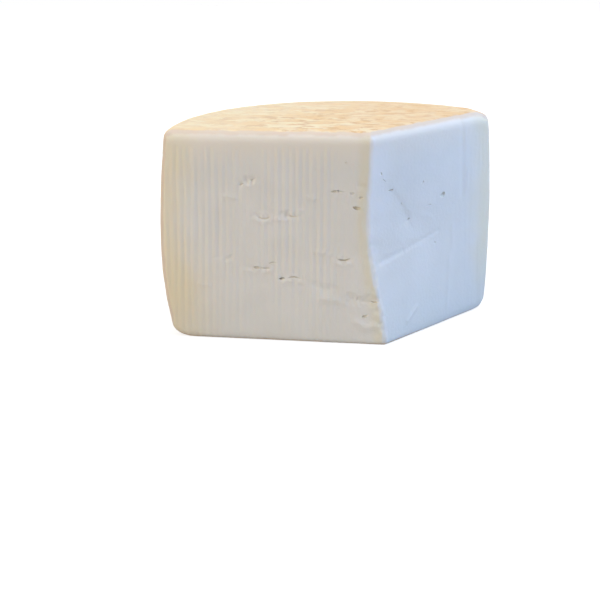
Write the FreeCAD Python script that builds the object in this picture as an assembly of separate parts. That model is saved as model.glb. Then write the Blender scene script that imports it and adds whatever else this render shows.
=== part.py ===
"""Farmer cheese: a third of a round wheel, left as it stands after two knife cuts.

One solid. The wheel's rim, its round side and the two cut faces come from one loft of plan
sections, from the base up. Each section is a closed outline: the right cut, its outer corner,
the wheel's arc, the other outer corner, the left cut, and the front corner where the cuts meet.
The front edge wanders as the knife did, so every section has its own. The slits and pits of the
curd are lens-shaped cutters taken out of the cut faces, each seated on the face by its share of
the way along it and of the way up.
"""
import FreeCAD, Part
import math
import os

V = FreeCAD.Vector

# ---- Driving dimensions, in millimetres and degrees ----------------------------------------

# The whole wheel, with its axis upright through the origin
WHEEL_RADIUS = 110.9          # at the widest part of the round side
WHEEL_HEIGHT = 118.7
SIDE_BULGE = 3.4              # how far the round side swells past its top and bottom edges
TOP_RIM_RADIUS = 4.6          # rounding of the rim at the top
BASE_RIM_REACH = 10.2         # rounding of the rim at the base, inwards
BASE_RIM_RISE = 6.5           # rounding of the rim at the base, upwards
FOOT_TUCK = 4.5               # how far the side draws in under its own weight, at angle 180
FOOT_RISE = 52.0              # and up to what height
OVAL_ANGLE = 108.8            # the wheel has settled into a slight oval along this direction
OVAL_SHARE = 0.0067           # how much longer than round that radius is
FLAT_ANGLE = 70.9             # the mould has left four slight flats, the first facing here
FLAT_SHARE = 0.0063           # how deep they are

# The two cuts and the front edge where they meet
RIGHT_CUT_ANGLE = 23.8        # where the right cut leaves the round side
LEFT_CUT_ANGLE = 154.7        # where the left cut leaves it
CUT_TOP_RADIUS = 6.7          # the rind pulled down over the top of each cut
CUT_BASE_RADIUS = 1.2         # the base edge of each cut
FRONT_CORNER = 2.6            # rounding of the front edge, along each cut
OUTER_CORNER = 3.5            # rounding of the upright outer edges, along each cut

# Where the front edge stands in plan, at even steps from the base to the top. It is upright in
# its upper half; below that the knife has drifted forward and to the right
FRONT_EDGE = [
    (14.5, -10.5),
    (11.7, -4.5),
    (7.7, 0.4),
    (8.6, 1.4),
    (9.4, 1.2),
]

# Openings between the curds. Each has its place on the cut, as a share of the cut's length from
# the front edge and a share of the wheel's height, then length, width, depth and tilt
LEFT_OPENINGS = [
    (0.164, 0.721, 6.4, 1.5, 1.6, -4.0),
    (0.090, 0.715, 2.8, 1.5, 1.2, 0.0),
    (0.051, 0.692, 2.8, 1.8, 1.1, 20.0),
    (0.070, 0.646, 4.4, 2.4, 1.8, -5.0),
    (0.116, 0.862, 1.8, 1.3, 0.9, 0.0),
    (0.148, 0.398, 6.7, 1.4, 1.2, 6.0),
    (0.374, 0.604, 6.1, 1.0, 0.8, -4.0),
    (0.511, 0.599, 8.4, 1.2, 0.8, 3.0),
    (0.572, 0.763, 8.9, 1.8, 0.8, 10.0),
    (0.482, 0.375, 5.0, 1.2, 1.0, 4.0),
    (0.572, 0.351, 6.7, 1.6, 1.2, -2.0),
    (0.407, 0.303, 11.0, 1.6, 1.3, 5.0),
    (0.070, 0.133, 3.6, 1.9, 1.4, 15.0),
]
RIGHT_OPENINGS = [
    (0.152, 0.711, 6.2, 1.9, 1.7, -4.0),
    (0.576, 0.635, 4.0, 2.9, 1.9, 0.0),
    (0.408, 0.715, 3.2, 1.7, 0.9, 25.0),
    (0.469, 0.594, 4.2, 1.3, 1.0, 12.0),
    (0.289, 0.551, 4.0, 1.8, 1.4, 20.0),
    (0.074, 0.798, 2.4, 1.7, 0.8, 60.0),
]

# ---- Loft settings --------------------------------------------------------------------------

RIM_STEPS = 6                 # sections through each rounded edge
WALL_STEPS = 7                # sections between them
ARC_POINTS = 13               # points that carry the round side
SHARPEST_CORNER = 0.8         # a corner in plan never gets tighter than this

# ---- Shape of an opening ---------------------------------------------------------------------

MOUTH_FLARE = 0.3             # how far the cutter stands out of the face, as a share of its depth
FLOOR_LENGTH = 0.55           # length of an opening's floor, as a share of its mouth
FLOOR_WIDTH = 0.35            # width of an opening's floor, as a share of its mouth


# ---- The wheel ------------------------------------------------------------------------------

def wheel_radius(angle):
    """Radius of the wheel at its widest, with its slight oval and its four slight flats."""
    oval = OVAL_SHARE * math.cos(2 * math.radians(angle - OVAL_ANGLE))
    flats = FLAT_SHARE * math.cos(4 * math.radians(angle - FLAT_ANGLE))
    return WHEEL_RADIUS * (1 + oval - flats)


def edge_inset(distance, reach, rise):
    """Inset of a rounded edge at a distance from the flat face that it turns into."""
    share = min(1.0, max(0.0, 1 - distance / rise))
    return reach * (1 - math.sqrt(1 - share * share))


def side_inset(angle, z):
    """How far the round side stands inside the wheel's widest radius at height z."""
    bulge = SIDE_BULGE * (2 * z / WHEEL_HEIGHT - 1) ** 2
    top = edge_inset(WHEEL_HEIGHT - z, TOP_RIM_RADIUS, TOP_RIM_RADIUS)
    base = edge_inset(z, BASE_RIM_REACH, BASE_RIM_RISE)
    towards_left = (1 - math.cos(math.radians(angle))) / 2
    tuck = FOOT_TUCK * towards_left * max(0.0, 1 - z / FOOT_RISE) ** 2
    return bulge + top + base + tuck


def side_point(angle, z):
    radius = wheel_radius(angle) - side_inset(angle, z)
    turn = math.radians(angle)
    return V(radius * math.cos(turn), radius * math.sin(turn), z)


# ---- The cuts -------------------------------------------------------------------------------

def front_edge():
    """The front edge as one smooth curve, whose parameter is the share of the wheel's height."""
    shares = [step / (len(FRONT_EDGE) - 1) for step in range(len(FRONT_EDGE))]
    edge = Part.BSplineCurve()
    edge.interpolate(
        Points=[V(x, y, share * WHEEL_HEIGHT) for share, (x, y) in zip(shares, FRONT_EDGE)],
        Parameters=shares,
    )
    return edge


def front_point(z):
    """The front edge at height z."""
    return front_edge().value(z / WHEEL_HEIGHT)


def cut_inset(z):
    """How far the rounded top and base edges pull a cut face back at height z."""
    top = edge_inset(WHEEL_HEIGHT - z, CUT_TOP_RADIUS, CUT_TOP_RADIUS)
    base = edge_inset(z, CUT_BASE_RADIUS, CUT_BASE_RADIUS)
    return top + base


def cut_direction(cut_angle, z):
    """Level direction of a cut, from the front edge to the round side."""
    return (side_point(cut_angle, z) - front_point(z)).normalize()


def cut_outward(cut_angle, z):
    """Level direction straight out of a cut face."""
    along = cut_direction(cut_angle, z)
    turn = 1 if cut_angle < 90 else -1
    return V(along.y * turn, -along.x * turn, 0)


def crossing(point_a, along_a, point_b, along_b):
    """Where two lines in one plan section meet."""
    gap = point_b - point_a
    turn = along_a.x * along_b.y - along_a.y * along_b.x
    reach = (gap.x * along_b.y - gap.y * along_b.x) / turn
    return point_a + along_a * reach


def angle_on_side(start, along, z):
    """Angle at which a line from start meets the round side at height z, by bisection."""
    near, far = 0.0, 2 * WHEEL_RADIUS
    for _ in range(50):
        middle = (near + far) / 2
        point = start + along * middle
        angle = math.degrees(math.atan2(point.y, point.x))
        if math.hypot(point.x, point.y) < wheel_radius(angle) - side_inset(angle, z):
            near = middle
        else:
            far = middle
    return angle


# ---- The outline at one height --------------------------------------------------------------

def curve_through(points):
    """A smooth curve whose knots are evenly spaced, so that every section has the same ones."""
    count = len(points)
    curve = Part.BSplineCurve()
    curve.interpolate(Points=points, Parameters=[step / (count - 1) for step in range(count)])
    return curve.toShape()


def corner_curve(start, corner, end):
    """A rounded corner in plan: a parabola that leaves both sides in line with them."""
    curve = Part.BezierCurve()
    curve.setPoles([start, corner, end])
    return curve.toShape()


def plan_section(z):
    """Closed outline of the piece at height z."""
    inset = cut_inset(z)
    left_along = cut_direction(LEFT_CUT_ANGLE, z)
    right_along = cut_direction(RIGHT_CUT_ANGLE, z)
    left_outward = cut_outward(LEFT_CUT_ANGLE, z)
    right_outward = cut_outward(RIGHT_CUT_ANGLE, z)
    edge = front_point(z)
    front = crossing(edge - left_outward * inset, left_along, edge - right_outward * inset, right_along)
    left_angle = angle_on_side(front, left_along, z)
    right_angle = angle_on_side(front, right_along, z)
    left_corner = side_point(left_angle, z)
    right_corner = side_point(right_angle, z)

    front_run = max(SHARPEST_CORNER, FRONT_CORNER - inset)
    outer_run = max(SHARPEST_CORNER, OUTER_CORNER - inset)
    outer_turn = math.degrees(outer_run / WHEEL_RADIUS)
    first = right_angle + outer_turn
    last = left_angle - outer_turn
    steps = ARC_POINTS - 1
    side = [side_point(first + (last - first) * step / steps, z) for step in range(ARC_POINTS)]

    left_start = front + left_along * front_run
    left_end = left_corner - left_along * outer_run
    right_start = front + right_along * front_run
    right_end = right_corner - right_along * outer_run
    return Part.Wire([
        Part.makeLine(right_start, right_end),
        corner_curve(right_end, right_corner, side[0]),
        curve_through(side),
        corner_curve(side[-1], left_corner, left_end),
        Part.makeLine(left_end, left_start),
        corner_curve(left_start, front, right_start),
    ])


def section_heights():
    """Heights of the sections: close together round the edges, far apart between them."""
    low, high = BASE_RIM_RISE, WHEEL_HEIGHT - CUT_TOP_RADIUS
    turns = [math.radians(90 * step / RIM_STEPS) for step in range(RIM_STEPS + 1)]
    base = [low * (1 - math.cos(turn)) for turn in turns]
    wall = [low + (high - low) * step / WALL_STEPS for step in range(1, WALL_STEPS)]
    top = [high + CUT_TOP_RADIUS * math.sin(turn) for turn in turns]
    return base + wall + top


# ---- The openings between the curds ----------------------------------------------------------

def lens_outline(length, width, y):
    """Two arcs that meet in points at both ends, upright in the plane y."""
    left, right = V(-length / 2, y, 0), V(length / 2, y, 0)
    upper = Part.Arc(left, V(0, y, width / 2), right).toShape()
    lower = Part.Arc(right, V(0, y, -width / 2), left).toShape()
    return Part.Wire([upper, lower])


def lens_cutter(length, width, depth):
    """A lens that narrows inwards, with its mouth just clear of the face that it is cut into."""
    mouth = lens_outline(length * (1 + MOUTH_FLARE), width * (1 + MOUTH_FLARE), -depth * MOUTH_FLARE)
    floor = lens_outline(length * FLOOR_LENGTH, width * FLOOR_WIDTH, depth)
    return Part.makeLoft([mouth, floor], True, True)


def opening_cutter(cut_angle, length_share, height_share, length, width, depth, tilt):
    """A cutter seated on a cut face, turned to lie along it."""
    height = height_share * WHEEL_HEIGHT
    front = front_point(height)
    outward = cut_outward(cut_angle, height)
    cutter = lens_cutter(length, width, depth)
    cutter.rotate(V(), V(0, 1, 0), tilt)
    cutter.rotate(V(), V(0, 0, 1), math.degrees(math.atan2(outward.x, -outward.y)))
    cutter.translate(front + (side_point(cut_angle, height) - front) * length_share)
    return cutter


def curd_openings():
    cuts = [(LEFT_CUT_ANGLE, LEFT_OPENINGS), (RIGHT_CUT_ANGLE, RIGHT_OPENINGS)]
    return [opening_cutter(angle, *opening) for angle, openings in cuts for opening in openings]


# ---- The piece ------------------------------------------------------------------------------

def cheese_block():
    """The cut wheel with its openings, standing on the origin at the middle of its base."""
    block = Part.makeLoft([plan_section(z) for z in section_heights()], True, True)
    cheese = block.cut(curd_openings())
    box = cheese.optimalBoundingBox(True)
    cheese.translate(V(-box.Center.x, -box.Center.y, -box.ZMin))
    return cheese


def main():
    os.makedirs("parts", exist_ok=True)
    cheese = cheese_block()
    box = cheese.optimalBoundingBox(True)
    print("valid", cheese.isValid(), "solids", len(cheese.Solids), "volume", round(cheese.Volume))
    print("size", round(box.XLength, 3), round(box.YLength, 3), round(box.ZLength, 3))
    cheese.exportStep("parts/cheese.step")


main()
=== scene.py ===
"""Farmer cheese: a cut third of a pressed wheel, tan cloth-marked rind over white curd.

The block is modelled once as an even mesh: the wheel's arc is spun, the two cuts are drawn to the
front edge, the outline is grid-filled, doubled and bridged, and the whole is pressed onto the
construction's own surface, with one upper corner worn down. Wire flutes, knife marks, folds and
the rind's cloth marks are raised on it by weighted modifiers, and the torn openings between the
curds are cut out last.
"""
import bmesh
import bpy
import math
from mathutils import Euler, Matrix, Vector
from mathutils.bvhtree import BVHTree


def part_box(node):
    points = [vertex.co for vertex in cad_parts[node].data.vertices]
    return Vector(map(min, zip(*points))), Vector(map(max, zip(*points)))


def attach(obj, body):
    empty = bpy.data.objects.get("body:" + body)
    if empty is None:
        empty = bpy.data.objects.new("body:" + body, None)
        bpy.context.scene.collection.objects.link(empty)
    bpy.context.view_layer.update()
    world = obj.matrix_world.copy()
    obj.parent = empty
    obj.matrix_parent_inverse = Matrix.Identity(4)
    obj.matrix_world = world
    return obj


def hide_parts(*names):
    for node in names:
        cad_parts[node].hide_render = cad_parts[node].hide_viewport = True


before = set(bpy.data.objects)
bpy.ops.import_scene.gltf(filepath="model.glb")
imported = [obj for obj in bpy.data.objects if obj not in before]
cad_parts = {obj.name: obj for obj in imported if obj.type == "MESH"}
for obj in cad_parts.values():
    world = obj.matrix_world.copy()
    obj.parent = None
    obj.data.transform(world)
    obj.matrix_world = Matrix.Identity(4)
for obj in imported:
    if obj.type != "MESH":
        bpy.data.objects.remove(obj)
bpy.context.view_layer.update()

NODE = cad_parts["cheese"]
LOW, HIGH = (Vector(corner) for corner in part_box("cheese"))
MM = 0.001
UP = Vector((0, 0, 1))

# ---- Mesh -----------------------------------------------------------------------------------

LEFT_STEPS = 184              # along the left cut, a multiple of four
RIGHT_STEPS = 112             # along the right cut, a multiple of four
RISE_STEPS = 106              # from base to top
PRESS_ROUNDS = 3              # smoothing after the block is pressed onto the construction
PRESS_EASE = 0.5              # how far each round goes
TOUCHING = 0.01 * MM          # places closer than this are the same place
BASE_LEVEL = 0.02 * MM        # what lies lower than this is the flat base
SMOOTH_ANGLE = 48             # edges sharper than this stay sharp, in degrees

# Bands of the construction's height, as shares from its base up, in which its corners are found
MIDDLE = (0.4, 0.6)
NEAR_TOP = (0.9, 0.96)
NEAR_BASE = (0.0, 0.03)

# The front edge is read from the construction between its rounded ends, by looks side by side
FRONT_LOW, FRONT_HIGH = 2.5 * MM, HIGH.z - 8 * MM
FRONT_READS = 24
LAST_SHARE = 0.9999           # just short of the last read
LOOK_STEP = 0.5 * MM
LOOK_START, LOOK_END = -16, 40          # steps to the left and right of the edge's top
LOOK_DISTANCE = 10 * MM

# The upper outer corner of the right cut is worn
CORNER_WEAR = Vector((-0.35, 0.1, -1.2)) * MM
CORNER_REACH = 11 * MM

# ---- Relief, in millimetres -----------------------------------------------------------------

FACES_OUT = 0.55              # how squarely a place of a cut faces out of it, at least
LEAST_WEIGHT = 0.004          # weaker weights are left out
LINE_FADE = 3                 # a line fades out within this many times its reach
EVENLY = 0.5                  # relief that goes as far inward as outward
UNBROKEN = 9000               # size of a texture in the direction in which it doesn't change

UNEVEN_SIZE = 34.0            # slow swelling of the cut faces
UNEVEN_HEIGHT = 0.5
RIM_BAND = 9.0                # below the top, where the flutes begin
RIM_FADE = (RIM_BAND - 3, RIM_BAND + 4)
FLUTE_PITCH = 3.9             # the even part of the flutes
FLUTE_HEIGHT = 0.28
FLUTE_WIDTH = 2.3             # the uneven part
FLUTE_LENGTH = 46.0
FLUTE_DRIFT = 0.62
FLUTES_OUTER = (66, 84)       # along the left cut, where the outer flutes come in
FLUTES_STRIPE = (14, 26), (52, 66)      # and where the stripe nearer the front comes and goes
FLUTES_RISE = (12, 46)        # height over which they come to their full depth
FLUTES_FAINT, FLUTES_DEEP, FLUTES_BROAD = 0.3, 0.7, 0.6     # everywhere, outer flutes, stripe
FLUTES_FOOT, FLUTES_GAIN = 0.55, 0.45   # strength at the base, and what is gained further up
STREAK_WIDTH = FLUTE_WIDTH * 1.6        # streaks on the right cut
STREAKS_OUTER = (70, 84)
STREAKS_STRENGTH = 0.7
TORN_GRAIN = (2.0, 2.0, 1.8)
TORN_HEIGHT = 2.0
TORN_MIDDLE = 0.52            # a little deeper inward than outward
CHIP_GRAIN = (4.2, 4.2, 3.2)  # chipped lower part of the front edge, on the left cut
CHIP_HEIGHT = 1.0
CHIP_MIDDLE = 0.55
CHIP_REACH = (1, 9)           # from the front edge
CHIP_RISE = (30, 44)
RAGGED_GRAIN = (3.2, 3.2, 3.8)          # the whole front edge, rougher low down
RAGGED_HEIGHT = 0.9
RAGGED_REACH = (1, 5)
RAGGED_RISE = (48, 62)
RAGGED_FADE = 0.6             # how much weaker above that height
RIND_PATCH = (13.0, 6.0, 6.0)  # cloth marks on the rind, along the left cut, across it and upright
RIND_HEIGHT = 0.35
RIND_FACING = (0.1, 0.6)      # how squarely a place faces out of a cut, from rind to curd
RIND_RISE = (1, 5)            # above the base
WRINKLE_SIZE = (15.0, 15.0, 9.0)        # pressed cloth folds round the side
WRINKLE_HEIGHT = 1.6
WRINKLE_RISE = (1, 10)        # above the base
WRINKLE_DROP = (2, 16)        # below the top
PRESSED_IN = 0.8              # how far the rind's relief goes inward rather than outward

# ---- What the finish reads, in millimetres --------------------------------------------------

SKIN_FACING = 0.25            # a face that looks out of both cuts less than this is rind
THIN_AT_BASE = 5.0            # how much thinner the tinted layer under the rind is at the base
THIN_RISE = (3, 14)           # height over which it comes to its full thickness
THIN_ON_RIGHT = 1.9           # how much thinner where the right cut crosses it
THIN_AT_SIDE = 2.0            # and round the side
SKIN_LEVEL = (0.1, 0.8)       # how far up the nearest rind faces, from side to top
NARROW_ON_RIGHT = 1.2         # how much narrower the warm outer end is on the right cut
RIGHT_FACING = (0.2, 0.5)     # how squarely a place faces out of the right cut

# ---- Marks on the cuts, in millimetres ------------------------------------------------------

# Lines left on the cuts. Each is a path of (along the cut from the front edge, height) points,
# how far it reaches on its left and on its right, and how far it stands out
LEFT_LINES = [
    ([(71.6, 88.3), (68.3, 90.5), (65.4, 92.3)], 1.3, 1.1, -0.37),
    ([(80.1, 81.6), (77.3, 81.4), (74.5, 80.8)], 1.0, 1.2, 0.37),
    ([(61.7, 73.7), (57.9, 74.7), (53.9, 73.9)], 0.9, 0.9, -0.24),
    ([(62.1, 72.0), (59.8, 70.6), (57.5, 70.1), (55.3, 70.7), (53.2, 71.9)], 1.2, 1.1, -0.41),
    ([(62.0, 68.6), (57.6, 67.5), (54.2, 68.5)], 1.2, 1.1, 0.34),
    ([(46.6, 72.6), (43.8, 71.6), (40.9, 71.3), (38.1, 71.4)], 1.2, 1.1, -0.41),
    ([(50.3, 69.4), (46.8, 69.0)], 1.1, 1.1, 0.31),
    ([(38.9, 73.1), (36.2, 74.2)], 0.9, 1.1, 0.31),
    ([(33.4, 81.6), (30.7, 81.7), (27.9, 81.2)], 1.0, 1.1, 0.31),
    ([(6.3, 88.9), (3.0, 88.4)], 0.9, 0.9, -0.34),
    ([(29.8, 51.2), (26.0, 50.8), (22.2, 50.3)], 1.0, 1.0, 0.34),
    ([(19.2, 45.2), (15.5, 44.2), (12.0, 45.4)], 1.2, 1.1, 0.37),
    ([(72, 39.9), (65, 39.3), (57, 39.8)], 1.2, 1.1, 0.27),
    ([(52, 33.4), (46, 34.4), (41, 34)], 1.2, 1.1, 0.31),
    ([(88.7, 46.9), (84.8, 46.7), (78.5, 46.9)], 1.0, 1.0, -0.34),
    ([(99.3, 31.1), (94.3, 30.7)], 1.0, 1.1, 0.34),
    ([(34, 33), (29, 30.5), (24, 31.5)], 2.0, 1.6, -0.34),
    ([(31.6, 24.8), (27.2, 24.3), (22.8, 23.9)], 1.6, 1.6, 0.37),
    ([(16, 27), (9, 24.5), (2.5, 26)], 2.0, 1.4, -0.51),
    ([(14, 12.5), (10, 9.5), (5.5, 10.5)], 2.2, 1.6, 0.48),
]
RIGHT_LINES = [
    ([(6.2, 44.5), (10.7, 45.8), (14.6, 46.1), (18.9, 47.0), (26.0, 47.8)], 1.7, 1.3, -0.5),
    ([(29.5, 48.4), (34.7, 49.9), (45.3, 51.6), (56.5, 54.6)], 1.4, 1.1, -0.34),
    ([(2.5, 55.5), (6, 54.4)], 2.6, 2.6, -0.25),
    ([(18.0, 83.4), (21.9, 79.5), (26.0, 75.0), (29.3, 69.0), (32.6, 65.0)], 1.5, 5.2, -0.34),
    ([(32.6, 65.0), (29.3, 63.3), (26.8, 62.3)], 1.0, 1.2, -0.2),
    ([(33.4, 69.1), (41.7, 66.4), (51.5, 62.8)], 1.5, 1.1, 0.14),
    ([(74.6, 113.6), (74.8, 108.3), (76.2, 89.5), (77.6, 72.3)], 1.2, 2.2, -0.34),
    ([(80.9, 85.9), (81.5, 76.4)], 0.9, 0.9, 0.2),
    ([(69.0, 55.4), (67.9, 42.5)], 1.4, 1.4, 0.24),
    ([(64.5, 39.0), (63.0, 29.7), (61.2, 21.2)], 3.2, 1.1, 0.3),
    ([(61.0, 19.5), (59.4, 8.5)], 1.6, 0.9, 0.2),
    ([(31.4, 14.8), (21.6, 8.4)], 0.8, 1.1, 0.6),
]

# Patches of torn curd on the left cut: along, height, half length, half width
TORN_PATCHES = [
    (67.2, 90.0, 6.5, 3.2),
    (57.6, 70.4, 6.0, 2.4),
    (43.0, 71.6, 6.5, 2.2),
    (30.7, 81.5, 4.0, 1.8),
    (16.0, 46.6, 5.0, 2.2),
    (63.5, 41.0, 8.5, 1.8),
    (46.0, 36.0, 8.0, 1.8),
    (83.5, 46.8, 7.0, 1.4),
    (26.0, 51.0, 5.0, 1.4),
    (12.0, 24.5, 10.0, 3.4),
]

OPENING_DEPTH = 0.62          # of an opening's depth, how much its cutter reaches in
OPENING_ROUGHNESS = 0.09      # how far its wall strays, as a share of its width
SAG_BAND = 0.06               # the middle that sags, as a share of its length
BALL_SEGMENTS, BALL_RINGS = 20, 10

# Openings between the curds: along, height, length, width, depth, tilt in degrees, sag
LEFT_OPENINGS = [
    (18.9, 85.4, 4.2, 1.5, 1.6, 2, 0.0),
    (15.4, 85.5, 5.0, 0.8, 0.9, -3, 0.0),
    (9.0, 84.6, 2.8, 1.5, 1.0, 0, 0.2),
    (4.1, 82.1, 2.6, 1.6, 1.0, 20, 0.0),
    (6.4, 76.5, 4.6, 2.1, 2.2, -5, 0.3),
    (13.5, 101.9, 1.6, 1.1, 0.7, 0, 0.0),
    (55.6, 44.3, 4.6, 1.0, 1.0, 4, -0.2),
    (65.0, 41.5, 4.0, 1.5, 1.4, -4, 0.0),
    (60.2, 41.4, 6.8, 0.8, 0.9, 2, 0.0),
    (51.8, 35.4, 3.6, 1.5, 1.5, 8, 0.0),
    (44.2, 36.3, 7.4, 1.1, 1.3, -3, -0.5),
    (15.0, 47.4, 7.0, 1.3, 1.4, 4, 0.8),
    (57.2, 70.6, 7.8, 0.9, 1.1, 2, 1.1),
    (41.9, 71.6, 7.4, 0.9, 1.3, -4, 0.5),
    (9.0, 16.0, 3.4, 1.6, 1.2, 15, 0.3),
    (70.4, 88.8, 3.0, 0.9, 0.8, 28, 0.0),
    (64.6, 91.4, 3.0, 0.8, 0.7, 20, 0.0),
    (2.6, 24.0, 4.2, 1.2, 1.1, -6, 0.2),
]
RIGHT_OPENINGS = [
    (17.0, 84.0, 4.2, 1.3, 1.4, -2, 0.3),
    (59.8, 75.0, 4.2, 2.7, 1.5, -24, 0.3),
    (42.8, 84.6, 2.6, 1.2, 0.7, -30, 0.0),
    (49.0, 70.3, 4.2, 0.9, 0.8, -6, -0.2),
    (32.4, 65.0, 2.4, 1.0, 0.8, -24, 0.0),
    (8.2, 94.6, 1.9, 1.3, 0.7, 60, 0.0),
    (10.8, 90.4, 3.4, 0.7, 0.5, 35, 0.0),
    (26.0, 74.8, 1.9, 1.0, 0.6, 40, 0.0),
    (52.8, 47.9, 1.6, 1.1, 0.6, 0, 0.0),
]

# ---- Places on the block, read from the construction ----------------------------------------


def farthest(direction, low_share, high_share):
    """The construction's farthest point in a direction, within a band of its height."""
    height = HIGH.z - LOW.z
    low, high = LOW.z + low_share * height, LOW.z + high_share * height
    band = [vertex.co for vertex in NODE.data.vertices if low <= vertex.co.z <= high]
    return max(band, key=direction.dot).copy()


def circle_through(a, b, c):
    """Centre and radius of the upright circle through three points in plan."""
    turn = 2 * (a.x * (b.y - c.y) + b.x * (c.y - a.y) + c.x * (a.y - b.y))
    x = (a.xy.length_squared * (b.y - c.y) + b.xy.length_squared * (c.y - a.y)
         + c.xy.length_squared * (a.y - b.y)) / turn
    y = (a.xy.length_squared * (c.x - b.x) + b.xy.length_squared * (a.x - c.x)
         + c.xy.length_squared * (b.x - a.x)) / turn
    centre = Vector((x, y, 0))
    return centre, (a.xy - centre.xy).length


RIGHT_CORNER = farthest(Vector((1, 0, 0)), *MIDDLE)
LEFT_CORNER = farthest(Vector((-1, 0, 0)), *MIDDLE)
BACK = farthest(Vector((0, 1, 0)), *MIDDLE)
FRONT_TOP = farthest(Vector((0, -1, 0)), *NEAR_TOP)
FRONT_BASE = farthest(Vector((0, -1, 0)), *NEAR_BASE)
for place in (RIGHT_CORNER, LEFT_CORNER, BACK, FRONT_TOP, FRONT_BASE):
    place.z = 0
WHEEL_AXIS, WHEEL_RADIUS = circle_through(RIGHT_CORNER, BACK, LEFT_CORNER)
LEFT_ALONG = (LEFT_CORNER - FRONT_TOP).normalized()
RIGHT_ALONG = (RIGHT_CORNER - FRONT_TOP).normalized()
LEFT_OUT = UP.cross(LEFT_ALONG)
RIGHT_OUT = RIGHT_ALONG.cross(UP)

SURFACE = BVHTree.FromPolygons(
    [vertex.co for vertex in NODE.data.vertices], [face.vertices for face in NODE.data.polygons])


def foremost(height):
    """The construction's foremost point at a height, looking straight at its front edge."""
    starts = [Vector((FRONT_TOP.x + step * LOOK_STEP, LOW.y - LOOK_DISTANCE, height))
              for step in range(LOOK_START, LOOK_END)]
    looks = [SURFACE.ray_cast(start, Vector((0, 1, 0)))[0] for start in starts]
    return min((hit for hit in looks if hit), key=lambda hit: hit.y)


FRONT_EDGE = [foremost(FRONT_LOW + (FRONT_HIGH - FRONT_LOW) * step / FRONT_READS)
              for step in range(FRONT_READS + 1)]


def front_at(height):
    """The front edge at a height, between the places read from the construction."""
    share = (height - FRONT_LOW) / (FRONT_HIGH - FRONT_LOW)
    steps = min(max(share, 0), LAST_SHARE) * FRONT_READS
    place = FRONT_EDGE[int(steps)].lerp(FRONT_EDGE[int(steps) + 1], steps % 1)
    return Vector((place.x, place.y, height))


# ---- Small hand tools -----------------------------------------------------------------------

def deselect_all():
    for item in bpy.context.selected_objects:
        item.select_set(False)


def take(piece):
    """Make one piece the selected and active one."""
    deselect_all()
    piece.select_set(True)
    bpy.context.view_layer.objects.active = piece


def edit(piece):
    take(piece)
    bpy.ops.object.mode_set(mode="EDIT")


def leave():
    bpy.ops.object.mode_set(mode="OBJECT")


def pick_vertices(piece, wanted):
    """In edit mode, select the vertices whose place passes a test."""
    bpy.ops.mesh.select_mode(type="VERT")
    bpy.ops.mesh.select_all(action="DESELECT")
    shape = bmesh.from_edit_mesh(piece.data)
    for vertex in shape.verts:
        vertex.select_set(wanted(vertex.co))
    shape.select_flush_mode()
    bmesh.update_edit_mesh(piece.data)


def apply_all(piece):
    take(piece)
    for modifier in list(piece.modifiers):
        bpy.ops.object.modifier_apply(modifier=modifier.name)


def at(place):
    """A test for one place."""
    return lambda co: (co - place).length < TOUCHING


def smooth_share(value, low, high):
    """0 below low, 1 above high, and an even curve between."""
    share = min(max((value - low) / (high - low), 0), 1)
    return share * share * (3 - 2 * share)


# ---- The block ------------------------------------------------------------------------------

def cut_line(piece, start, end, steps):
    """Draw one cut between two corners of the outline, in equal steps, a multiple of four."""
    pick_vertices(piece, lambda co: at(start)(co) or at(end)(co))
    bpy.ops.mesh.edge_face_add()
    bpy.ops.mesh.subdivide(number_cuts=steps // 4 - 1)
    bpy.ops.mesh.subdivide(number_cuts=1)
    bpy.ops.mesh.subdivide(number_cuts=1)


def plan_patch():
    """The block in plan, filled with an even grid, at the level of the base."""
    turn = (LEFT_CORNER - WHEEL_AXIS).angle(RIGHT_CORNER - WHEEL_AXIS)
    bpy.ops.mesh.primitive_plane_add(size=MM, location=RIGHT_CORNER)
    patch = bpy.context.object
    bpy.ops.object.transform_apply(location=True)
    edit(patch)
    bpy.ops.mesh.select_all(action="SELECT")
    bpy.ops.mesh.merge(type="CENTER")
    bpy.ops.mesh.spin(steps=LEFT_STEPS + RIGHT_STEPS, angle=-turn, center=WHEEL_AXIS, axis=UP)
    pick_vertices(patch, at(LEFT_CORNER))
    bpy.ops.mesh.extrude_region_move(TRANSFORM_OT_translate={"value": FRONT_TOP - LEFT_CORNER})
    pick_vertices(patch, lambda co: at(LEFT_CORNER)(co) or at(FRONT_TOP)(co))
    bpy.ops.mesh.delete(type="EDGE_FACE")
    cut_line(patch, LEFT_CORNER, FRONT_TOP, LEFT_STEPS)
    cut_line(patch, FRONT_TOP, RIGHT_CORNER, RIGHT_STEPS)
    bpy.ops.mesh.select_mode(type="VERT")
    bpy.ops.mesh.select_all(action="SELECT")
    shape = bmesh.from_edit_mesh(patch.data)
    front = min(shape.verts, key=lambda vertex: (vertex.co - FRONT_TOP).length)
    shape.select_history.clear()
    shape.select_history.add(front)
    bpy.ops.mesh.fill_grid(span=LEFT_STEPS, offset=0)
    leave()
    return patch


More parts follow.
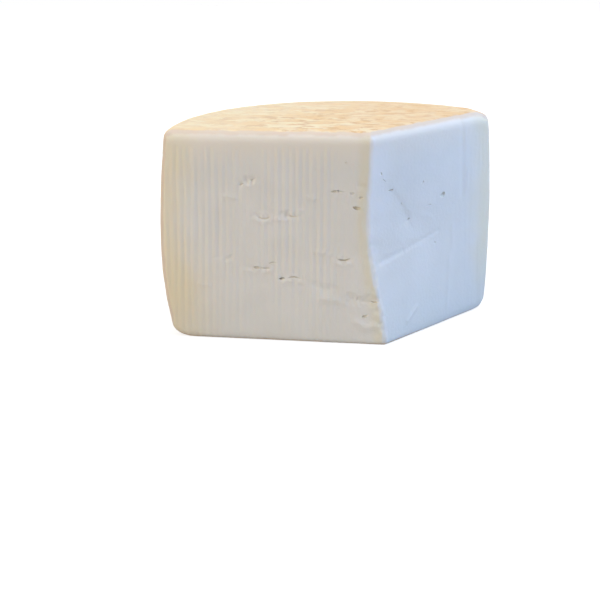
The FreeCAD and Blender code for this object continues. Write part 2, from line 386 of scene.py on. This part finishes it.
def raw_block():
    """Top and base grids, bridged into a closed upright block that reaches the drifted front edge."""
    block = plan_patch()
    block.name = "block"
    edit(block)
    bpy.ops.mesh.select_all(action="SELECT")
    bpy.ops.mesh.duplicate_move(TRANSFORM_OT_translate={"value": (0, 0, HIGH.z)})
    pick_vertices(block, at(FRONT_TOP))
    bpy.ops.transform.translate(
        value=FRONT_BASE - FRONT_TOP, use_proportional_edit=True, proportional_edit_falloff="LINEAR",
        use_proportional_connected=True, proportional_size=(LEFT_CORNER - FRONT_TOP).length,
    )
    bpy.ops.mesh.select_mode(type="EDGE")
    bpy.ops.mesh.select_all(action="DESELECT")
    bpy.ops.mesh.select_non_manifold(extend=False, use_wire=False, use_boundary=True,
                                     use_multi_face=False, use_non_contiguous=False, use_verts=False)
    bpy.ops.mesh.bridge_edge_loops(number_cuts=RISE_STEPS - 1, interpolation="LINEAR")
    bpy.ops.mesh.select_all(action="SELECT")
    bpy.ops.mesh.normals_make_consistent(inside=False)
    leave()
    return block


def press_onto_construction(block):
    """Bring every vertex onto the construction's surface, then even the mesh out a little."""
    press = block.modifiers.new("press", "SHRINKWRAP")
    press.target = NODE
    press.wrap_method = "NEAREST_SURFACEPOINT"
    press.wrap_mode = "ON_SURFACE"
    relax = block.modifiers.new("relax", "SMOOTH")
    relax.factor = PRESS_EASE
    relax.iterations = PRESS_ROUNDS
    apply_all(block)


def soften_outer_corner(block):
    """Wear down the upper outer corner of the right cut."""
    places = [vertex.co for vertex in block.data.vertices]
    corner = max(places, key=lambda co: co.dot(RIGHT_ALONG) + co.z).copy()
    edit(block)
    pick_vertices(block, at(corner))
    bpy.ops.transform.translate(
        value=CORNER_WEAR, use_proportional_edit=True, proportional_edit_falloff="SMOOTH",
        proportional_size=CORNER_REACH,
    )
    leave()


def flatten_base(block):
    """Join the small faces of the flat base into one."""
    edit(block)
    bpy.ops.mesh.select_mode(type="FACE")
    bpy.ops.mesh.select_all(action="DESELECT")
    shape = bmesh.from_edit_mesh(block.data)
    for face in shape.faces:
        face.select_set(all(vertex.co.z < BASE_LEVEL for vertex in face.verts))
    bmesh.update_edit_mesh(block.data)
    bpy.ops.mesh.dissolve_faces()
    leave()


# ---- Where the relief goes ------------------------------------------------------------------

def cut_places(block, corner, out, other_out):
    """Each vertex that faces out of a cut: its number, its distance along it, its height, in mm."""
    places = []
    for vertex in block.data.vertices:
        if vertex.normal.dot(out) > max(FACES_OUT, vertex.normal.dot(other_out)):
            front = front_at(vertex.co.z)
            along = (Vector((corner.x, corner.y, front.z)) - front).normalized()
            places.append((vertex.index, (vertex.co - front).dot(along) / MM, vertex.co.z / MM))
    return places


def weigh(block, name, weights):
    """A vertex group that holds a weight for each vertex number."""
    group = block.vertex_groups.new(name=name)
    for index, weight in weights:
        if weight > LEAST_WEIGHT:
            group.add([index], min(weight, 1.0), "REPLACE")
    return name


def side_of_path(point, path):
    """Distance from a point to a path in a plane, and its side: 1 to the left, -1 to the right."""
    best = None
    for start, end in zip(path, path[1:]):
        run, reach = end - start, point - start
        share = min(max(reach.dot(run) / run.length_squared, 0), 1)
        distance = (reach - run * share).length
        if best is None or distance < best[0]:
            best = (distance, 1 if run.x * reach.y - run.y * reach.x > 0 else -1)
    return best


def line_weights(places, points, left_reach, right_reach):
    """Weights that fall off to each side of a line, by its own reach on that side."""
    path = [Vector(point) for point in points]
    widest = LINE_FADE * max(left_reach, right_reach)
    low = min(point.y for point in path) - widest
    high = max(point.y for point in path) + widest
    weights = []
    for index, along, height in places:
        if low < height < high:
            distance, side = side_of_path(Vector((along, height)), path)
            reach = left_reach if side > 0 else right_reach
            weights.append((index, math.exp(-(distance / reach) ** 2)))
    return weights


def raise_by(block, name, group, height, texture=None, guide=None, middle=0.0):
    """Move what a group holds in or out, evenly or by a texture laid out by a guide."""
    lift = block.modifiers.new(name, "DISPLACE")
    lift.vertex_group = group
    lift.strength = height * MM
    lift.mid_level = middle
    if texture:
        lift.texture = texture
        lift.texture_coords = "OBJECT"
        lift.texture_coords_object = guide


GUIDES = []


def guide_for(name, sizes, along):
    """An empty that lays a texture out: its sizes in mm along a direction, across it and upright."""
    bpy.ops.object.empty_add()
    guide = bpy.context.object
    guide.name = name
    guide.rotation_euler = (0, 0, math.atan2(along.y, along.x))
    guide.scale = Vector(sizes) * MM
    bpy.context.view_layer.update()
    GUIDES.append(guide)
    return guide


def clouds(name, depth=2):
    texture = bpy.data.textures.new(name, "CLOUDS")
    texture.noise_scale = 1.0
    texture.noise_depth = depth
    return texture


def bands(name):
    texture = bpy.data.textures.new(name, "WOOD")
    texture.wood_type = "BANDS"
    texture.noise_basis_2 = "SIN"
    return texture


BAND_PERIOD = 2 * math.pi / 10   # of the band texture, in its own units


def below_rim(height):
    """0 at the rim, 1 from a little below it."""
    return smooth_share(HIGH.z / MM - height, *RIM_FADE)


def flute_weight(along, height):
    """Flutes are deep at the outer end and in a broad stripe nearer the front, faint between."""
    comes, goes = FLUTES_STRIPE
    outer = smooth_share(along, *FLUTES_OUTER)
    stripe = smooth_share(along, *comes) * (1 - smooth_share(along, *goes))
    full = FLUTES_FOOT + FLUTES_GAIN * smooth_share(height, *FLUTES_RISE)
    depth = FLUTES_FAINT + FLUTES_DEEP * outer + FLUTES_BROAD * stripe
    return depth * below_rim(height) * full


def streak_weight(along, height):
    """Faint streaks, at the outer end of the right cut only."""
    return STREAKS_STRENGTH * smooth_share(along, *STREAKS_OUTER) * below_rim(height)


def torn_weight(along, height):
    """Strong in the middle of each patch of torn curd."""
    return max(math.exp(-((along - x) / length) ** 2 - ((height - z) / width) ** 2)
               for x, z, length, width in TORN_PATCHES)


def chip_weight(along, height):
    """Strong beside the lower part of the front edge."""
    return (1 - smooth_share(abs(along), *CHIP_REACH)) * (1 - smooth_share(height, *CHIP_RISE))


def ragged_weight(along, height):
    """Strong at the front edge, less so above its ragged lower part."""
    fade = RAGGED_FADE * smooth_share(height, *RAGGED_RISE)
    return (1 - smooth_share(abs(along), *RAGGED_REACH)) * (1 - fade)


def weigh_places(block, name, places, weight):
    """A vertex group over the places on a cut, weighted by where each is."""
    return weigh(block, name, [(index, weight(along, height)) for index, along, height in places])


def relief_on_cuts(block):
    """Swelling, flutes, knife lines, torn curd and the ragged front edge."""
    left = cut_places(block, LEFT_CORNER, LEFT_OUT, RIGHT_OUT)
    right = cut_places(block, RIGHT_CORNER, RIGHT_OUT, LEFT_OUT)
    both = left + right
    cuts = weigh_places(block, "cuts", both, lambda along, height: 1.0)
    raise_by(block, "uneven", cuts, UNEVEN_HEIGHT, clouds("swelling", 1),
             guide_for("swelling", [UNEVEN_SIZE] * 3, LEFT_ALONG), EVENLY)

    flutes = weigh_places(block, "flutes", left, flute_weight)
    raise_by(block, "flutes", flutes, FLUTE_HEIGHT, bands("flutes"),
             guide_for("flutes", (FLUTE_PITCH / BAND_PERIOD, UNBROKEN, UNBROKEN), LEFT_ALONG), EVENLY)
    raise_by(block, "flute drift", flutes, FLUTE_DRIFT, clouds("flute drift"),
             guide_for("flute drift", (FLUTE_WIDTH, UNBROKEN, FLUTE_LENGTH), LEFT_ALONG), EVENLY)
    streaks = weigh_places(block, "streaks", right, streak_weight)
    raise_by(block, "streaks", streaks, FLUTE_DRIFT, clouds("streaks"),
             guide_for("streaks", (STREAK_WIDTH, UNBROKEN, FLUTE_LENGTH), RIGHT_ALONG), EVENLY)

    for cut, places, lines in (("left", left, LEFT_LINES), ("right", right, RIGHT_LINES)):
        for number, (points, left_reach, right_reach, height) in enumerate(lines, 1):
            name = f"{cut} line {number}"
            weights = line_weights(places, points, left_reach, right_reach)
            raise_by(block, name, weigh(block, name, weights), height)

    torn = weigh_places(block, "torn", left, torn_weight)
    raise_by(block, "torn", torn, TORN_HEIGHT, clouds("torn"),
             guide_for("torn", TORN_GRAIN, LEFT_ALONG), TORN_MIDDLE)
    chipped = weigh_places(block, "chipped edge", left, chip_weight)
    raise_by(block, "chips", chipped, CHIP_HEIGHT, clouds("chips"),
             guide_for("chips", CHIP_GRAIN, LEFT_ALONG), CHIP_MIDDLE)
    ragged = weigh_places(block, "front edge", both, ragged_weight)
    raise_by(block, "ragged", ragged, RAGGED_HEIGHT, clouds("ragged"),
             guide_for("ragged", RAGGED_GRAIN, LEFT_ALONG), EVENLY)


def relief_on_rind(block):
    """Cloth marks over all the rind, and wrinkles round the side, clear of its two rims."""
    skin, round_side = [], []
    for vertex in block.data.vertices:
        facing = max(vertex.normal.dot(LEFT_OUT), vertex.normal.dot(RIGHT_OUT))
        rise, drop = vertex.co.z / MM, (HIGH.z - vertex.co.z) / MM
        bare = (1 - smooth_share(facing, *RIND_FACING)) * smooth_share(rise, *RIND_RISE)
        skin.append((vertex.index, bare))
        round_side.append((vertex.index, bare * smooth_share(rise, *WRINKLE_RISE)
                           * smooth_share(drop, *WRINKLE_DROP)))
    raise_by(block, "cloth marks", weigh(block, "skin", skin), RIND_HEIGHT, clouds("cloth marks", 3),
             guide_for("cloth marks", RIND_PATCH, LEFT_ALONG), PRESSED_IN)
    raise_by(block, "wrinkles", weigh(block, "round side", round_side), WRINKLE_HEIGHT,
             clouds("wrinkles", 3), guide_for("wrinkles", WRINKLE_SIZE, LEFT_ALONG), PRESSED_IN)


def relief(block):
    """All the relief, raised and applied, and its guides taken away."""
    relief_on_cuts(block)
    relief_on_rind(block)
    apply_all(block)
    for guide in GUIDES:
        bpy.data.objects.remove(guide)


# ---- Openings between the curds -------------------------------------------------------------

def opening_cutter(whole, corner, along, height, length, width, depth, tilt, sag):
    """A squashed ball, long and thin, seated half in a cut, its middle sagging below its ends."""
    front = front_at(height * MM)
    run = (Vector((corner.x, corner.y, front.z)) - front).normalized()
    place = whole.find_nearest(front + run * along * MM)[0]
    bpy.ops.mesh.primitive_uv_sphere_add(segments=BALL_SEGMENTS, ring_count=BALL_RINGS, radius=1,
                                         location=(0, 0, 0))
    cutter = bpy.context.object
    edit(cutter)
    bpy.ops.mesh.select_all(action="SELECT")
    bpy.ops.transform.resize(value=(length / 2 * MM, depth * OPENING_DEPTH * MM, width / 2 * MM))
    bpy.ops.transform.vertex_random(offset=width * OPENING_ROUGHNESS * MM,
                                    seed=int(along * 10 + height))
    if sag:
        pick_vertices(cutter, lambda co: abs(co.x) < length * SAG_BAND * MM)
        bpy.ops.transform.translate(
            value=(0, 0, -sag * MM), use_proportional_edit=True, proportional_edit_falloff="SMOOTH",
            proportional_size=length / 2 * MM,
        )
    leave()
    turned = Matrix.Rotation(math.atan2(run.y, run.x), 4, "Z")
    tilted = Matrix.Rotation(math.radians(tilt), 4, "Y")
    cutter.matrix_world = Matrix.Translation(place) @ turned @ tilted
    return cutter


def cut_openings(block, whole):
    """Cut all the openings out of the block with one joined cutter."""
    cutters = [opening_cutter(whole, LEFT_CORNER, *opening) for opening in LEFT_OPENINGS]
    cutters += [opening_cutter(whole, RIGHT_CORNER, *opening) for opening in RIGHT_OPENINGS]
    deselect_all()
    for cutter in cutters:
        cutter.select_set(True)
    bpy.context.view_layer.objects.active = cutters[0]
    bpy.ops.object.join()
    tools = bpy.context.object
    opening = block.modifiers.new("openings", "BOOLEAN")
    opening.operation = "DIFFERENCE"
    opening.solver = "MANIFOLD"
    opening.object = tools
    apply_all(block)
    bpy.data.objects.remove(tools)


# ---- What the finish reads ------------------------------------------------------------------

def surface_of(piece, wanted=lambda face: True):
    """A piece's faces, or some of them, ready to be measured from."""
    places = [vertex.co.copy() for vertex in piece.data.vertices]
    faces = [face.vertices[:] for face in piece.data.polygons if wanted(face)]
    return BVHTree.FromPolygons(places, faces)


def is_skin(face):
    return max(face.normal.dot(LEFT_OUT), face.normal.dot(RIGHT_OUT)) < SKIN_FACING


def write_values(piece, name, values):
    layer = piece.data.attributes.new(name, "FLOAT", "POINT")
    layer.data.foreach_set("value", values)


def measure(block, skin, whole):
    """Write down, for each vertex, what the finish depends on, in mm."""
    skin_depth, side_reach, pit_depth, front_reach = [], [], [], []
    for vertex in block.data.vertices:
        _, skin_normal, _, distance = skin.find_nearest(vertex.co)
        on_right = smooth_share(vertex.normal.dot(RIGHT_OUT), *RIGHT_FACING)
        thin = 1 + THIN_AT_BASE * (1 - smooth_share(vertex.co.z / MM, *THIN_RISE))
        thin += THIN_ON_RIGHT * on_right
        thin += THIN_AT_SIDE * (1 - smooth_share(skin_normal.z, *SKIN_LEVEL))
        skin_depth.append(distance / MM * thin)
        narrow = 1 + NARROW_ON_RIGHT * on_right
        side_reach.append((WHEEL_RADIUS - (vertex.co - WHEEL_AXIS).xy.length) / MM * narrow)
        pit_depth.append(whole.find_nearest(vertex.co)[3] / MM)
        reach = (vertex.co - front_at(vertex.co.z)).xy.length / MM
        side = 1 if vertex.normal.dot(LEFT_OUT) > vertex.normal.dot(RIGHT_OUT) else -1
        front_reach.append(reach * side)
    write_values(block, "skin_depth", skin_depth)
    write_values(block, "side_reach", side_reach)
    write_values(block, "pit_depth", pit_depth)
    write_values(block, "front_reach", front_reach)


block = raw_block()
press_onto_construction(block)
soften_outer_corner(block)
flatten_base(block)
skin_faces = {face.index for face in block.data.polygons if is_skin(face)}
relief(block)
skin = surface_of(block, lambda face: face.index in skin_faces)
whole = surface_of(block)
cut_openings(block, whole)
measure(block, skin, whole)
take(block)
bpy.ops.object.shade_smooth_by_angle(angle=math.radians(SMOOTH_ANGLE))


# ---- Looks ----------------------------------------------------------------------------------

# Colours, linear
CURD = (0.86, 0.81, 0.75)
CURD_DIM = (0.835, 0.785, 0.722)
CURD_WARM = (0.895, 0.79, 0.615)
CURD_CREAM = (0.905, 0.815, 0.71)
# painted warm bounce light, low on the left cut towards its outer end
CURD_WARM_BOUNCE = (0.90, 0.74, 0.47)
# painted shade at the foot of the cuts
CURD_FOOT_SHADE = (0.755, 0.745, 0.70)
CURD_SHADE = (0.50, 0.43, 0.27)
UNDER_RIND = (0.79, 0.645, 0.515)
RIND = (0.90, 0.625, 0.33)
RIND_PALE = (0.97, 0.80, 0.535)
RIND_DARK = (0.75, 0.47, 0.24)
RIND_DEEP = (0.84, 0.53, 0.27)
RIND_SIDE = (0.93, 0.69, 0.36)
RIND_SCUFFED = (0.96, 0.85, 0.66)
EDGE_LEFT = (0.84, 0.755, 0.57)
# painted highlight along the right side of the front edge
EDGE_RIGHT_HIGHLIGHT = (0.93, 0.86, 0.81)
# painted light on the upper part of the right cut beside the front edge
CURD_PAINTED_LIGHT = (0.95, 0.885, 0.83)

# Sizes of the finish's features, in mm: along the left cut, across it and upright
SLOW_SIZES = (26, 26, 26)
WANDER_SIZES = (7, 7, 7)
STREAK_SIZES = (16, 8, 9)
WEAVE_SIZES = (7.5, 4.8, 4.6)
PATCH_SIZES = (34, 20, 20)
GRAIN_SIZES = (0.5, 0.5, 0.5)
PEBBLE_SIZES = (1.8, 1.8, 1.8)

# Each range below holds where something starts and ends, and then, if they aren't 0 and 1, the
# values that it goes from and to

# Levels of noise. The two that wander move a border, in mm
SLOW_SPREAD = (0.38, 0.62)
STREAK_SPREAD = (0.44, 0.60)
WEAVE_SPREAD = (0.50, 0.64, 0.0, 0.9)
PATCH_SPREAD = (0.5, 0.66, 0.0, 0.35)
SCUFF_SPREAD = (0.48, 0.72, 0.0, 0.9)
SIDE_WANDER = (0.3, 0.7, -6.0, 6.0)
DEPTH_WANDER = (0.3, 0.7, -0.8, 0.8)

# Tints of the curd, among them painted light and painted shade where named so below. RISE and DROP
# are heights, REACH is the way in from the round side in mm, and the others are the way from the
# front edge in mm, less than 0 on the right cut
CREAM_RISE = (HIGH.z - 24 * MM, HIGH.z - 4 * MM)
WARM_REACH = (10.0, 50.0, 1.0, 0.0)
# painted warm bounce light: low down, on the left cut, towards its outer end
BOUNCE_RISE = (70 * MM, 14 * MM, 0.0, 0.65)
BOUNCE_FRONT = (0.0, 6.0)
BOUNCE_REACH = (15.0, 85.0, 1.0, 0.0)
# painted shade at the foot, stronger on the right cut
FOOT_SHADE_RISE = (0.0, 50 * MM, 0.8, 0.0)
FOOT_SHADE_FRONT = (6.0, -2.0, 0.3, 1.0)
EDGE_LEFT_COMES = (0.6, 1.6)
EDGE_LEFT_GOES = (3.0, 9.0, 0.6, 0.0)
# painted highlight band on the right side of the front edge
EDGE_HIGHLIGHT_COMES = (-0.6, -1.6)
EDGE_HIGHLIGHT_GOES = (-1.6, -4.0, 0.5, 0.0)
# painted light on the upper part of the right cut beside the front edge
PAINTED_LIGHT_COMES = (0.8, -0.6)
PAINTED_LIGHT_GOES = (-2.0, -26.0, 0.8, 0.0)
PAINTED_LIGHT_RISE = (52 * MM, 76 * MM)
PAINTED_LIGHT_DROP = (HIGH.z - 5 * MM, HIGH.z - 12 * MM)
PIT_SHADE = (0.05, 1.3, 0.0, 0.45)      # by an opening's depth, in mm

# Tints of the rind, by place
RIND_LEFT = (0.0, -80 * MM, 0.0, 0.5)
RIND_BACK = (0.0, 52 * MM, 0.0, 0.5)
RIND_RIGHT = (-20 * MM, 50 * MM, 0.0, 0.4)
SIDE_DROP = (HIGH.z - 2 * MM, HIGH.z - 9 * MM, 0.0, 0.65)

# From the rind inwards, in mm
UNDER_DEPTH = (0.0, 3.0)
CURD_DEPTH = (7.5, 14.5)
CLOTH_DEPTH = (0.5, 3.0, 1.0, 0.0)
ROUGH_DEPTH = (0.0, 4.0, 0.62, 0.52)

# Fine unevenness: its height in mm, then its strength
GRAIN_BUMP = (0.12, 0.35)
PEBBLE_BUMP = (0.4, 0.4)
CLOTH_BUMP = (0.5, 0.5)

SPECULAR = 0.35
SUBSURFACE_WEIGHT = 0.2
SUBSURFACE_RADIUS = (1.0, 0.7, 0.45)
SUBSURFACE_SCALE = 3 * MM


class Finish:
    """A material's nodes, added one after the other."""

    def __init__(self, name):
        self.material = bpy.data.materials.new(name)
        self.material.use_nodes = True
        self.tree = self.material.node_tree
        self.shader = self.tree.nodes["Principled BSDF"]
        self.place = self.tree.nodes.new("ShaderNodeTexCoord").outputs["Object"]

    def join(self, source, target):
        self.tree.links.new(source, target)

    def value(self, name):
        """What measure wrote down under a name."""
        node = self.tree.nodes.new("ShaderNodeAttribute")
        node.attribute_name = name
        return node.outputs["Fac"]

    def laid(self, sizes, turn=0.0):
        """Object coordinates in features of these sizes in mm, along, across and upright."""
        node = self.tree.nodes.new("ShaderNodeMapping")
        node.vector_type = "TEXTURE"
        node.inputs["Rotation"].default_value = (0, 0, turn)
        node.inputs["Scale"].default_value = [size * MM for size in sizes]
        self.join(self.place, node.inputs["Vector"])
        return node.outputs["Vector"]

    def noise(self, where, detail=3.0, roughness=0.5, distortion=0.0):
        node = self.tree.nodes.new("ShaderNodeTexNoise")
        node.inputs["Scale"].default_value = 1.0
        node.inputs["Detail"].default_value = detail
        node.inputs["Roughness"].default_value = roughness
        node.inputs["Distortion"].default_value = distortion
        self.join(where, node.inputs["Vector"])
        return node.outputs["Fac"]

    def spread(self, source, low, high, new_low=0.0, new_high=1.0):
        """Go smoothly from a new low at the source's low to a new high at its high."""
        node = self.tree.nodes.new("ShaderNodeMapRange")
        node.interpolation_type = "SMOOTHSTEP"
        ends = {"From Min": low, "From Max": high, "To Min": new_low, "To Max": new_high}
        for name, number in ends.items():
            node.inputs[name].default_value = number
        self.join(source, node.inputs["Value"])
        return node.outputs["Result"]

    def combine(self, kind, first, second):
        node = self.tree.nodes.new("ShaderNodeMath")
        node.operation = kind
        for value, socket in zip((first, second), node.inputs):
            if isinstance(value, (int, float)):
                socket.default_value = value
            else:
                self.join(value, socket)
        return node.outputs["Value"]

    def plus(self, first, second):
        return self.combine("ADD", first, second)

    def times(self, first, second):
        return self.combine("MULTIPLY", first, second)

    def blend(self, share, first, second, kind="MIX"):
        node = self.tree.nodes.new("ShaderNodeMix")
        node.data_type = "RGBA"
        node.blend_type = kind
        sockets = [socket for socket in node.inputs if socket.enabled]
        self.join(share, sockets[0])
        for value, socket in zip((first, second), sockets[1:]):
            if isinstance(value, tuple):
                socket.default_value = (*value, 1)
            else:
                self.join(value, socket)
        return next(socket for socket in node.outputs if socket.enabled)

    def bump(self, height, distance, strength, under=None):
        node = self.tree.nodes.new("ShaderNodeBump")
        node.inputs["Distance"].default_value = distance * MM
        node.inputs["Strength"].default_value = strength
        self.join(height, node.inputs["Height"])
        if under:
            self.join(under, node.inputs["Normal"])
        return node.outputs["Normal"]


def curd_colour(finish, slow, rise):
    """White curd, creamier near the top and warmer at the outer end, with painted warm bounce light
    low on the left cut, painted shade at the foot, a tinted band on the left side of the front edge,
    a painted highlight band on its right side, painted light on the upper right cut beside the front
    edge, and shade in the openings."""
    curd = finish.blend(finish.spread(slow, *SLOW_SPREAD), CURD_DIM, CURD)
    curd = finish.blend(finish.spread(rise, *CREAM_RISE), curd, CURD_CREAM)
    inward = finish.plus(finish.value("side_reach"), finish.spread(slow, *SIDE_WANDER))
    curd = finish.blend(finish.spread(inward, *WARM_REACH), curd, CURD_WARM)

    front = finish.value("front_reach")
    # painted warm bounce light, low on the left cut
    low = finish.times(finish.spread(rise, *BOUNCE_RISE), finish.spread(front, *BOUNCE_FRONT))
    curd = finish.blend(finish.times(low, finish.spread(inward, *BOUNCE_REACH)), curd, CURD_WARM_BOUNCE)
    # painted shade at the foot of the cuts
    foot_shade = finish.times(finish.spread(rise, *FOOT_SHADE_RISE), finish.spread(front, *FOOT_SHADE_FRONT))
    curd = finish.blend(foot_shade, curd, CURD_FOOT_SHADE)

    # the band on the right side of the front edge is a painted highlight
    for comes, goes, colour in (
        (EDGE_LEFT_COMES, EDGE_LEFT_GOES, EDGE_LEFT), (EDGE_HIGHLIGHT_COMES, EDGE_HIGHLIGHT_GOES, EDGE_RIGHT_HIGHLIGHT),
    ):
        band = finish.times(finish.spread(front, *comes), finish.spread(front, *goes))
        curd = finish.blend(band, curd, colour)
    # painted light on the upper part of the right cut beside the front edge
    painted_light = finish.times(finish.spread(front, *PAINTED_LIGHT_COMES), finish.spread(front, *PAINTED_LIGHT_GOES))
    upper = finish.times(finish.spread(rise, *PAINTED_LIGHT_RISE), finish.spread(rise, *PAINTED_LIGHT_DROP))
    curd = finish.blend(finish.times(painted_light, upper), curd, CURD_PAINTED_LIGHT)
    pit = finish.value("pit_depth")
    return finish.blend(finish.spread(pit, *PIT_SHADE), curd, CURD_SHADE)


def rind_colour(finish, weave, turn, place):
    """Tan rind with cloth marks, paler to the left and back, deeper to the right, and scuffed
    round the side."""
    streak = finish.noise(finish.laid(STREAK_SIZES, turn), 4, 0.6, 0.3)
    patch = finish.noise(finish.laid(PATCH_SIZES, turn), 2)
    rind = finish.blend(finish.spread(streak, *STREAK_SPREAD), RIND, RIND_PALE)
    rind = finish.blend(finish.spread(weave, *WEAVE_SPREAD), rind, RIND_DARK)
    rind = finish.blend(finish.spread(patch, *PATCH_SPREAD), rind, RIND_PALE)
    rind = finish.blend(finish.spread(place["X"], *RIND_LEFT), rind, RIND_PALE)
    rind = finish.blend(finish.spread(place["Y"], *RIND_BACK), rind, RIND_PALE)
    rind = finish.blend(finish.spread(place["X"], *RIND_RIGHT), rind, RIND_DEEP)
    below = finish.spread(place["Z"], *SIDE_DROP)
    rind = finish.blend(below, rind, RIND_SIDE)
    scuffed = finish.times(finish.spread(patch, *SCUFF_SPREAD), below)
    return finish.blend(scuffed, rind, RIND_SCUFFED)


def fine_relief(finish, weave, depth):
    """Grain and pebbles all over, and the cloth's weave on the rind."""
    grain = finish.noise(finish.laid(GRAIN_SIZES), 3, 0.6)
    pebble = finish.noise(finish.laid(PEBBLE_SIZES), 3, 0.55)
    cloth = finish.times(weave, finish.spread(depth, *CLOTH_DEPTH))
    normal = finish.bump(grain, *GRAIN_BUMP)
    normal = finish.bump(pebble, *PEBBLE_BUMP, normal)
    return finish.bump(cloth, *CLOTH_BUMP, normal)


def curd_finish():
    """White fresh curd inside, going through cream and peach to the tan rind at the skin."""
    finish = Finish("curd")
    turn = math.atan2(LEFT_ALONG.y, LEFT_ALONG.x)
    split = finish.tree.nodes.new("ShaderNodeSeparateXYZ")
    finish.join(finish.place, split.inputs["Vector"])
    slow = finish.noise(finish.laid(SLOW_SIZES), 2)
    wander = finish.noise(finish.laid(WANDER_SIZES), 3)
    weave = finish.noise(finish.laid(WEAVE_SIZES, turn), 3, 0.6)

    depth = finish.plus(finish.value("skin_depth"), finish.spread(wander, *DEPTH_WANDER))
    rind = rind_colour(finish, weave, turn, split.outputs)
    body = finish.blend(finish.spread(depth, *UNDER_DEPTH), rind, UNDER_RIND)
    curd = curd_colour(finish, slow, split.outputs["Z"])
    body = finish.blend(finish.spread(depth, *CURD_DEPTH), body, curd)

    inputs = finish.shader.inputs
    finish.join(body, inputs["Base Color"])
    finish.join(fine_relief(finish, weave, depth), inputs["Normal"])
    finish.join(finish.spread(depth, *ROUGH_DEPTH), inputs["Roughness"])
    inputs["Specular IOR Level"].default_value = SPECULAR
    inputs["Subsurface Weight"].default_value = SUBSURFACE_WEIGHT
    inputs["Subsurface Radius"].default_value = SUBSURFACE_RADIUS
    inputs["Subsurface Scale"].default_value = SUBSURFACE_SCALE
    return finish.material


block.data.materials.clear()
block.data.materials.append(curd_finish())
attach(block, "root")
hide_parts("cheese")


# ---- Stage ----------------------------------------------------------------------------------

CAMERA_PLACE = Vector((-343.77, -988.06, 315.58)) * MM
CAMERA_TURN = (73.753, 0.0, -18.33)     # in degrees
LENS, SENSOR = 111.89, 36               # in mm

FLOOR_SIZE = 6.0              # in metres
FLOOR_DROP = 0.0002           # in metres, below the block's base
FLOOR_GREY = (0.38, 0.38, 0.38, 1)
FLOOR_ROUGHNESS = 0.95
FLOOR_LIFT = 0.78             # its own light, seen by the camera only

WHITE = (1, 1, 1, 1)
WORLD_LIGHT = 0.30            # of the white surround, where neither camera nor gloss sees it

# Lamps: place, what each is aimed at and size, all in metres, then power in watts and colour
LAMPS = {
    "overhead": ((0.1, 0.1, 1.5), (0, 0, 0.1), 1.0, 8.6, (1, 0.99, 0.97)),
    "right": ((0.706, -0.375, 0.5), (0, 0, 0.06), 0.4, 6.2, (0.365, 0.59, 1.0)),
    "left": ((-1.3, -0.5, 0.55), (0, 0, 0.06), 0.5, 8.9, (1, 0.93, 0.8)),
    "back": ((0.35, 1.38, 0.07), (0, 0, 0.06), 0.13, 5.0, (1, 0.96, 0.9)),
}


def pale_floor():
    """A grey floor that the camera sees as white."""
    bpy.ops.mesh.primitive_plane_add(size=FLOOR_SIZE, location=(0, 0, -FLOOR_DROP))
    floor = bpy.context.object
    floor.name = "floor"
    material = bpy.data.materials.new("floor")
    material.use_nodes = True
    nodes, links = material.node_tree.nodes, material.node_tree.links
    shader = nodes["Principled BSDF"]
    shader.inputs["Base Color"].default_value = FLOOR_GREY
    shader.inputs["Roughness"].default_value = FLOOR_ROUGHNESS
    shader.inputs["Emission Color"].default_value = WHITE
    seen = nodes.new("ShaderNodeLightPath")
    lift = nodes.new("ShaderNodeMath")
    lift.operation = "MULTIPLY"
    lift.inputs[1].default_value = FLOOR_LIFT
    links.new(seen.outputs["Is Camera Ray"], lift.inputs[0])
    links.new(lift.outputs["Value"], shader.inputs["Emission Strength"])
    floor.data.materials.append(material)


def area_light(name, place, aim, size, power, colour):
    lamp = bpy.data.lights.new(name, "AREA")
    lamp.shape = "DISK"
    lamp.size = size
    lamp.energy = power
    lamp.color = colour
    item = bpy.data.objects.new(name, lamp)
    bpy.context.collection.objects.link(item)
    item.location = place
    item.rotation_euler = (Vector(aim) - Vector(place)).to_track_quat("-Z", "Y").to_euler()


def surround():
    """White where the camera or a gloss sees it, and a dim light everywhere else."""
    world = bpy.data.worlds.new("studio")
    bpy.context.scene.world = world
    world.use_nodes = True
    nodes, links = world.node_tree.nodes, world.node_tree.links
    back = nodes["Background"]
    back.inputs["Color"].default_value = WHITE
    seen = nodes.new("ShaderNodeLightPath")
    either = nodes.new("ShaderNodeMath")
    either.operation = "MAXIMUM"
    links.new(seen.outputs["Is Camera Ray"], either.inputs[0])
    links.new(seen.outputs["Is Glossy Ray"], either.inputs[1])
    level = nodes.new("ShaderNodeMapRange")
    level.inputs["To Min"].default_value = WORLD_LIGHT
    level.inputs["To Max"].default_value = 1.0
    links.new(either.outputs["Value"], level.inputs["Value"])
    links.new(level.outputs["Result"], back.inputs["Strength"])


def viewpoint():
    camera = bpy.data.cameras.new("camera")
    camera.lens = LENS
    camera.sensor_width = SENSOR
    item = bpy.data.objects.new("camera", camera)
    bpy.context.collection.objects.link(item)
    item.location = CAMERA_PLACE
    item.rotation_euler = Euler([math.radians(angle) for angle in CAMERA_TURN])
    bpy.context.scene.camera = item


bpy.context.scene.view_settings.view_transform = "Standard"
pale_floor()
surround()
for name, lamp in LAMPS.items():
    area_light(name, *lamp)
viewpoint()
